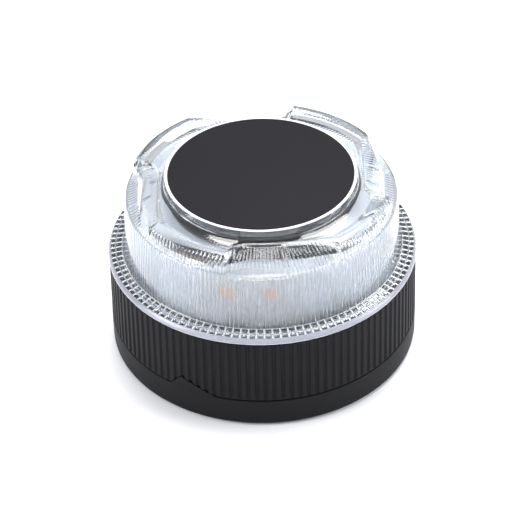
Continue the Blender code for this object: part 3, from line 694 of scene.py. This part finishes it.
def groove_stations(theta):
    """Slanted bayonet groove, open at the foot of the neck."""
    room = 0.45
    side_room = 0.6
    left = theta - TAB_HALF_WIDTH - side_room
    right = theta + TAB_HALF_WIDTH + side_room
    foot = NECK_FOOT_Z - 1.0
    top = TAB_HIGH_Z + room
    end = right + (top - NECK_FOOT_Z + 0.5) / THREAD_RISE
    steps = 16
    stations = []
    for i in range(steps + 1):
        at = left + (end - left) * i / steps
        low = max(foot, TAB_LOW_Z - room - THREAD_RISE * (at - left))
        stations.append((at, low, min(top, top - THREAD_RISE * (at - right))))
    return stations


def housing_core():
    """Everything inside the ribbed ring, turned in one: neck, deck and button column."""
    foot = NECK_FOOT_Z
    outline = [
        (BOARD_ROOM_RADIUS, SEAL_SEAT_Z - 1.0), (BOARD_ROOM_RADIUS, DECK_TOP_Z), (COLUMN_INNER, DECK_TOP_Z),
        (COLUMN_INNER, COLUMN_FLOOR_Z + WEB), (GUIDE_RADIUS, COLUMN_FLOOR_Z + WEB),
        (GUIDE_RADIUS, GUIDE_CEILING_Z + WEB), (STEM_HOLE, GUIDE_CEILING_Z + WEB),
        (STEM_HOLE, GUIDE_CEILING_Z),
        (GUIDE_BORE, GUIDE_CEILING_Z), (GUIDE_BORE, 1.6), (GUIDE_BORE + 0.2, 1.4), (GUIDE_RADIUS - 0.3, 1.4),
        (GUIDE_RADIUS, 1.7), (GUIDE_RADIUS, COLUMN_FLOOR_Z), (COLUMN_INNER, COLUMN_FLOOR_Z),
        (COLUMN_INNER, UNDERSIDE_Z), (COLUMN_RADIUS - 0.4, UNDERSIDE_Z), (COLUMN_RADIUS, UNDERSIDE_Z + 0.4),
        (COLUMN_RADIUS, DECK_LOW_Z), (NECK_INNER, DECK_LOW_Z), (NECK_INNER, foot), (NECK_RADIUS - 0.3, foot),
        (NECK_RADIUS, foot + 0.3), (NECK_RADIUS, SEAL_SEAT_Z - 1.0)]
    core = turned("housing_core", BLACK_ABS, outline, 192)
    for theta in TAB_ANGLES:
        cut = arc_block("cut_groove", BLACK_ABS, NECK_RADIUS - 1.25, NECK_RADIUS + 0.3,
                        groove_stations(theta))
        fit_together(core, cut, "DIFFERENCE")
    for theta in THIRDS:
        for side in (-1.0, 1.0):
            wall = box_piece("add_end_wall", BLACK_ABS, (1.4, 10.0, DECK_LOW_Z - 6.0),
                             (side * (CELL_BAY_HALF + 0.9), -CELL_DISTANCE, DECK_LOW_Z / 2 + 3.4),
                             theta=theta + 60.0)
            fit_together(core, wall, "UNION")
        spot = around(SCREW_CIRCLE, theta, 0.0) / MM
        hole = upright("cut_screw_hole", BLACK_ABS, SCREW_HOLE, DECK_LOW_Z - 4, DECK_TOP_Z + 2,
                       spot[:2])
        fit_together(core, hole, "DIFFERENCE")
    return core


def grip_shell():
    """Black housing in one moulding: ribbed ring with the notch for the lug, and the core in it."""
    shell = ribbed_wall()
    notch = arc_block("cut_lug_notch", BLACK_ABS, NECK_RADIUS - 0.5, 50.0,
                      lug_stations(SEAM_GAP, SEAM_Z - 1))
    fit_together(shell, notch, "DIFFERENCE")
    fit_together(shell, housing_core(), "UNION")
    stand_for(smooth_again(shell), "grip_housing")


# ------------------------------------------------------------------ battery cover

def cover_shell():
    """Lower ring and floor plate, with the ramp lug and three bayonet tabs."""
    seat_in, seat_out, seat_z = FOOT_SEAT
    ring = turned("cover_shell", BLACK_ABS, soften([
        (COVER_WALL_INNER, SEAM_Z), (COVER_WALL_INNER, COVER_PLATE_TOP, 0.5),
        (COVER_HOLE, COVER_PLATE_TOP, 0.3),
        (COVER_HOLE, UNDERSIDE_Z, 0.3), (seat_in, UNDERSIDE_Z, 0.2), (seat_in, seat_z), (seat_out, seat_z),
        (seat_out, UNDERSIDE_Z, 0.2), (COVER_RADIUS, UNDERSIDE_Z, COVER_FILLET),
        (COVER_RADIUS, SEAM_Z, 0.3)], 6), 384)
    lug = arc_block("add_lug", BLACK_ABS, COVER_WALL_INNER, COVER_RADIUS - 0.02,
                    lug_stations(0.0, SEAM_Z - 1.5))
    fit_together(ring, lug, "UNION")
    for theta in TAB_ANGLES:
        stations = [(theta + side * TAB_HALF_WIDTH / 4, TAB_LOW_Z, TAB_HIGH_Z) for side in range(-4, 5)]
        tab = arc_block("add_tab", BLACK_ABS, NECK_RADIUS - 0.85, COVER_WALL_INNER + 0.5, stations)
        fit_together(ring, tab, "UNION")
    stand_for(smooth_again(ring), "battery_cover")


def foot_pads():
    """Rubber rings under the cover and the magnet, with fine grip rings moulded in."""
    for node, name, inner, outer, pitch in (("foot_ring", "foot_ring_pad", 25.1, 42.9, 2.2),
                                            ("magnet_pad", "magnet_grip_pad", MAGNET_BORE, 15.9, 1.4)):
        low, high = extent(node)
        outline = [(outer, high.z), (outer, low.z + 0.3), (outer - 0.3, low.z)]
        rings = int((outer - inner - 2.0) / pitch)
        margin = (outer - inner - rings * pitch) / 2
        for k in range(rings):
            at = outer - margin - k * pitch - 0.3 * pitch
            outline += [(at, low.z), (at - 0.12, low.z + 0.3), (at - 0.4 * pitch + 0.12, low.z + 0.3),
                        (at - 0.4 * pitch, low.z)]
        outline += [(inner + 0.3, low.z), (inner, low.z + 0.3), (inner, high.z)]
        stand_for(turned(name, RUBBER, outline, 192), node)


def seals():
    """Rubber ring under the dome and silicone ring in the cover."""
    for node, name, finish, inner in (("lens_gasket", "dome_seal", RUBBER, 43.5),
                                       ("cover_gasket", "cover_seal_ring", SILICONE, 44.0)):
        low, high = extent(node)
        outer = high.x
        outline = soften([(outer, high.z, 0.15), (outer, low.z, 0.15), (inner, low.z, 0.15),
                          (inner, high.z, 0.15)], 3)
        stand_for(turned(name, finish, outline), node)


# ------------------------------------------------------------------ button and magnet

def push_button():
    """Orange cap with a raised rim and the ring and bar of a power mark, on its stem, with the clip
    that keeps it in and its return spring."""
    face = BUTTON_LOW.z
    edge = BUTTON_HIGH.x
    cap = turned("button_cap", ORANGE_ABS, soften([
        (0.0, BUTTON_HIGH.z), (STEM_RADIUS, BUTTON_HIGH.z, 0.3), (STEM_RADIUS, STEM_NECK_TOP_Z),
        (STEM_NECK_RADIUS, STEM_NECK_TOP_Z), (STEM_NECK_RADIUS, STEM_NECK_LOW_Z),
        (STEM_RADIUS, STEM_NECK_LOW_Z), (STEM_RADIUS, BUTTON_CAP_TOP_Z, 0.4),
        (edge, BUTTON_CAP_TOP_Z, 0.2), (edge, face, 0.5), (edge - 1.3, face, 0.2),
        (edge - 1.6, face + 0.35, 0.2),
        (0.0, face + 0.35)]), 96)
    mark = turned("cut_mark_ring", ORANGE_ABS, (
        (2.6, face + 0.1), (2.6, face + 0.6), (2.1, face + 0.6), (2.1, face + 0.1)), 96)
    fit_together(cap, mark, "DIFFERENCE")
    bar = box_piece("cut_mark_bar", ORANGE_ABS, (0.5, 2.0, 0.5), (0.0, -2.0, face + 0.4))
    fit_together(cap, bar, "DIFFERENCE")
    stand_for(smooth_again(cap), "power_button")
    low, high = extent("button_clip")
    clip = turned("stem_clip", STEEL, soften([
        (3.0, high.z, 0.1), (3.0, low.z, 0.1), (1.35, low.z), (1.35, high.z)]), 64)
    slot = box_piece("cut_clip_mouth", STEEL, (1.7, 4.0, 2.0), (0.0, -2.6, (low.z + high.z) / 2))
    fit_together(clip, slot, "DIFFERENCE")
    stand_for(smooth_again(clip), "button_clip")
    low, high = extent("button_spring")
    stand_for(wire_coil("return_spring", STEEL, 3.6, 0.28, low.z, high.z, 3.0), "button_spring")


def magnet():
    """Ring magnet that holds the beacon on a roof, and the steel keeper plate over it."""
    for node, name, finish, bevel in (("ring_magnet", "roof_magnet", NICKEL, 0.3),
                                      ("keeper_plate", "magnet_keeper", ZINC, 0.15)):
        low, high = extent(node)
        outline = soften([(high.x, high.z, bevel), (high.x, low.z, bevel), (MAGNET_BORE, low.z, bevel),
                          (MAGNET_BORE, high.z, bevel)], 3)
        stand_for(turned(name, finish, outline, 160), node)


# ------------------------------------------------------------------ cells and contacts

def lie_along(theta):
    """Takes a piece turned on the Z axis and lays it in its cell bay facing theta."""
    bay = Matrix.Translation(Vector((0.0, -CELL_DISTANCE, CELL_Z)) * MM)
    return facing(theta) @ (bay @ Matrix.Rotation(math.radians(90.0), 4, "Y"))


def paint_band(piece, slot, low, high):
    """Give the faces between two heights, before the piece is laid down, another finish."""
    for face in piece.data.polygons:
        if low * MM < face.center.z < high * MM:
            face.material_index = slot


def cells():
    """Three AA cells with a copper-coloured sleeve band, each between a coil and a contact leaf."""
    back = -CELL_BAY_HALF + CELL_SPRING_ROOM
    front = back + CELL_LENGTH
    for number, theta in enumerate(CELL_ANGLES, 1):
        can = turned(f"aa_cell_{number}", (SLEEVE, SLEEVE_BAND, NICKEL), soften([
            (0.0, front), (2.7, front, 0.4), (2.7, front - 1.4, 0.3), (6.2, front - 1.4, 0.2),
            (6.7, front - 1.1, 0.2), (CELL_RADIUS, front - 1.7, 0.3), (CELL_RADIUS, front - 11.0),
            (CELL_RADIUS, front - 14.0), (CELL_RADIUS, back + 0.2, 0.5), (6.2, back, 0.2),
            (5.9, back + 0.3, 0.2), (0.0, back + 0.3)]), 64)
        paint_band(can, 1, front - 14.0, front - 2.4)
        paint_band(can, 2, front - 1.45, front + 1.0)
        paint_band(can, 2, back - 1.0, back + 0.35)
        can.data.transform(lie_along(theta))
        stand_for(can, f"battery_cell_{number}")
        spring = wire_coil(f"cell_coil_{number}", NICKEL, 3.4, 0.33, -CELL_BAY_HALF + 0.45, back - 0.05,
                           1.6)
        spring.data.transform(lie_along(theta))
        stand_for(spring, f"cell_spring_{number}")
        plate = box_piece(f"contact_leaf_{number}", TIN, (0.4, 9.0, 11.0),
                          (CELL_BAY_HALF - 0.3, -CELL_DISTANCE, CELL_Z), 0.12, theta=theta)
        stand_for(plate, f"cell_contact_{number}")


# ------------------------------------------------------------------ boards

def screws():
    """Pan-head screws with a cross recess and a fine thread."""
    for number, theta in enumerate(THIRDS, 1):
        low, high = extent(f"carrier_screw_{number}")
        turns = 16
        head = low.z + 1.7
        length = high.z - 1.5 - head
        thread = []
        for i in range(turns):
            z = high.z - 1.2 - length * i / turns
            thread += [(1.1, z), (1.4, z - 0.25 * length / turns), (1.4, z - 0.35 * length / turns),
                       (1.1, z - 0.6 * length / turns)]
        outline = [(0.0, high.z), (0.7, high.z), (1.1, high.z - 0.6)] + thread + [
            (1.4, head + 0.3), (1.4, head), (2.55, head), (2.7, head - 0.15), (2.6, head - 1.1),
            (2.1, head - 1.55), (1.2, low.z), (0.0, low.z)]
        screw = turned(f"tower_screw_{number}", ZINC, outline, 40)
        for turn in (0.0, 90.0):
            slot = box_piece("cut_cross", ZINC, (2.6, 0.55, 1.6), (0.0, 0.0, low.z), theta=turn)
            fit_together(screw, slot, "DIFFERENCE")
        spot = around(SCREW_CIRCLE, theta, 0.0)
        screw.data.transform(Matrix.Translation(spot))
        stand_for(smooth_again(screw), f"carrier_screw_{number}")


def control_board():
    """Control board with its radio shield, capacitor, button switch and the ribbon to the antenna."""
    low, high = extent("main_board")
    board = turned("control_board", BLACK_MASK, soften([
        (0.0, high.z), (high.x, high.z, 0.1), (high.x, low.z, 0.1), (0.0, low.z)]), 192)
    for theta in THIRDS:
        spot = around(SCREW_CIRCLE, theta, 0.0) / MM
        hole = upright("cut_hole", BLACK_MASK, SCREW_HOLE, low.z - 1, high.z + 1, spot[:2])
        fit_together(board, hole, "DIFFERENCE")
    stand_for(smooth_again(board), "main_board")
    low, high = extent("modem_shield")
    shield = box_piece("radio_shield", TIN, tuple(high - low), tuple((low + high) / 2), 0.3, 3)
    for column in range(5):
        for row in range(4):
            vent = upright("cut_vent", TIN, 0.45, high.z - 0.3, high.z + 0.5,
                           (low.x + 4.0 + 3.0 * column, low.y + 3.5 + 3.0 * row), 12)
            fit_together(shield, vent, "DIFFERENCE")
    stand_for(smooth_again(shield), "modem_shield")
    low, high = extent("board_capacitor")
    capacitor = box_piece("backup_capacitor", BLACK_ABS, tuple(high - low), tuple((low + high) / 2), 0.5, 3)
    stand_for(capacitor, "board_capacitor")
    low, high = extent("tact_switch")
    switch = box_piece("board_switch", BLACK_ABS, (6.2, 6.2, 3.4), (0.0, 0.0, high.z - 1.7), 0.3, 3)
    fit_together(switch, upright("add_tip", BLACK_ABS, 1.6, low.z, low.z + 1.2, fillet=0.15), "UNION")
    stand_for(smooth_again(switch), "tact_switch")
    low, high = extent("flex_link")
    ribbon = box_piece("ribbon_link", ORANGE_ABS, tuple(high - low), tuple((low + high) / 2), 0.1)
    stand_for(ribbon, "flex_link")


def antenna():
    """Antenna board, and the ceramic patch on it with a silver face."""
    low, high = extent("antenna_board")
    board = turned("sky_board", BLACK_MASK, soften([
        (0.0, high.z), (high.x, high.z, 0.1), (high.x, low.z, 0.1), (0.0, low.z)]), 192)
    stand_for(board, "antenna_board")
    low, high = extent("patch_antenna")
    centre = (low + high) / 2
    patch = box_piece("ceramic_patch", (CERAMIC, SILVER), tuple(high - low), tuple(centre), 0.4, 3)
    film = bmesh.new()
    film.from_mesh(patch.data)
    top = [face for face in film.faces if face.normal.z > 0.99]
    bmesh.ops.inset_region(film, faces=top, thickness=2.5 * MM, depth=0.0, use_even_offset=True)
    for face in top:
        face.material_index = 1
    film.to_mesh(patch.data)
    film.free()
    stand_for(patch, "patch_antenna")


# ------------------------------------------------------------------ lamp tower

def lamp_tower():
    """White tower: a drum with four flats for the lamp boards, and four blocks that reach out to the
    dome wall."""
    low, high = extent("led_carrier")
    top = high.z
    drum = turned("lamp_tower", WHITE_ABS, soften([
        (DRUM_RADIUS, top, 0.8), (DRUM_RADIUS, DRUM_LOW_Z, 0.3), (DRUM_INNER, DRUM_LOW_Z),
        (DRUM_INNER, top - 1.6, 0.5), (DRUM_HOLE, top - 1.6, 0.3), (DRUM_HOLE, top, 0.3)]), 256)
    span = 360.0 / SCOOPS
    for side in range(SCOOPS):
        turn = side * span
        steps = 24
        stations = [(BLOCK_LEFT + turn + (BLOCK_RIGHT - BLOCK_LEFT) * i / steps, DRUM_LOW_Z, BLOCK_TOP_Z)
                    for i in range(steps + 1)]
        block = arc_block("add_block", WHITE_ABS, DRUM_INNER + 1, BLOCK_RADIUS, stations)
        fit_together(drum, block, "UNION")
        flat = box_piece("cut_flat", WHITE_ABS, (27.0, 8.0, 14.0), (0.0, -FLAT_DISTANCE - 4.0, LAMP_Z), 0.4,
                         theta=FLAT_THETA + turn)
        fit_together(drum, flat, "DIFFERENCE")
    for theta in THIRDS:
        spot = around(SCREW_CIRCLE, theta, 0.0) / MM
        post = upright("add_post", WHITE_ABS, 3.2, low.z, DRUM_LOW_Z + 4.5, spot[:2])
        fit_together(drum, post, "UNION")
        pilot = upright("cut_pilot", WHITE_ABS, 1.7, low.z - 1, low.z + 5.1, spot[:2])
        fit_together(drum, pilot, "DIFFERENCE")
    stand_for(smooth_again(drum), "led_carrier")


def lamps():
    """Four boards with two lamps on each: a white package round an amber well."""
    number = 0
    for side in range(SCOOPS):
        theta = FLAT_THETA + 360.0 / SCOOPS * side
        face = FLAT_DISTANCE + STRIP_GAP + STRIP_THICK
        board = box_piece(f"lamp_strip_{side + 1}", WHITE_MASK, (26.0, STRIP_THICK, 13.0),
                          (0.0, -face + STRIP_THICK / 2, LAMP_Z), 0.1, theta=theta)
        stand_for(board, f"lamp_board_{side + 1}")
        for offset in (-LAMP_OFFSET, LAMP_OFFSET):
            number += 1
            bm = bmesh.new()
            box_mesh(bm, (5.0, LAMP_THICK, 5.0), (offset, -face - LAMP_GAP - LAMP_THICK / 2, LAMP_Z),
                     0.2, 2, theta)
            bm.normal_update()
            out = facing(theta) @ Vector((0.0, -1.0, 0.0))
            front = [f for f in bm.faces if f.normal.dot(out) > 0.99]
            bmesh.ops.inset_region(bm, faces=front, thickness=0.15 * MM, depth=0.0)
            bmesh.ops.inset_region(bm, faces=front, thickness=0.1 * MM, depth=-0.15 * MM)
            for well in front:
                well.material_index = 1
            lamp = object_from(bm, f"amber_lamp_unit_{number}", (LAMP_BODY, AMBER))
            stand_for(lamp, f"amber_lamp_{number}")


# ------------------------------------------------------------------ setting

CAMERA_ELEVATION = 38.155
CAMERA_DISTANCE = 0.672  # metres
CAMERA_LENS = 146.39
CAMERA_PAN = -0.056
CAMERA_TILT = -0.542
CAMERA_ROLL = -1.311


def studio():
    """Pale floor, white surroundings, large soft lights, and the camera."""
    bpy.ops.mesh.primitive_plane_add(size=6.0)
    floor = bpy.context.object
    floor.name = "studio_floor"
    paper = bpy.data.materials.new("white_paper_floor")
    paper.use_nodes = True
    shader = paper.node_tree.nodes["Principled BSDF"]
    shader.inputs["Base Color"].default_value = linear("#f4f4f5")
    shader.inputs["Roughness"].default_value = 0.9
    floor.data.materials.append(paper)
    world = bpy.data.worlds.new("white_studio")
    bpy.context.scene.world = world
    world.use_nodes = True
    sky = world.node_tree.nodes["Background"]
    sky.inputs["Color"].default_value = linear("#f3f6fb")
    sky.inputs["Strength"].default_value = 0.75
    for name, place, size, power in (("overhead_softbox", (0.1, 0.25, 0.75), 0.6, 9.0),
                                     ("left_softbox", (-0.75, -0.25, 0.45), 0.5, 5.0),
                                     ("right_softbox", (0.8, -0.1, 0.4), 0.5, 4.0)):
        light = bpy.data.lights.new(name, "AREA")
        light.shape = "DISK"
        light.size = size
        light.energy = power
        lamp = bpy.data.objects.new(name, light)
        lamp.location = place
        towards = Vector((0.0, 0.0, 0.03)) - Vector(place)
        lamp.rotation_euler = towards.to_track_quat("-Z", "Y").to_euler()
        bpy.context.scene.collection.objects.link(lamp)
    bpy.context.scene.view_settings.view_transform = "Standard"
    elevation = math.radians(CAMERA_ELEVATION)
    lens = bpy.data.cameras.new("front_camera")
    lens.sensor_width = 36.0
    lens.lens = CAMERA_LENS
    camera = bpy.data.objects.new("front_camera", lens)
    aim = Vector((0.0, 0.0, FLANGE_EDGE_Z * MM))
    camera.location = aim + CAMERA_DISTANCE * Vector((0.0, -math.cos(elevation), math.sin(elevation)))
    view = (aim - camera.location).to_track_quat("-Z", "Y").to_matrix()
    pan = Matrix.Rotation(math.radians(CAMERA_PAN), 3, "Y")
    tilt = Matrix.Rotation(math.radians(CAMERA_TILT), 3, "X")
    roll = Matrix.Rotation(math.radians(CAMERA_ROLL), 3, "Z")
    camera.rotation_euler = (view @ pan @ tilt @ roll).to_euler()
    bpy.context.scene.collection.objects.link(camera)
    bpy.context.scene.camera = camera


studio()
fluted_dome()
top_disc()
grip_shell()
cover_shell()
foot_pads()
seals()
push_button()
magnet()
cells()
screws()
control_board()
antenna()
lamp_tower()
lamps()
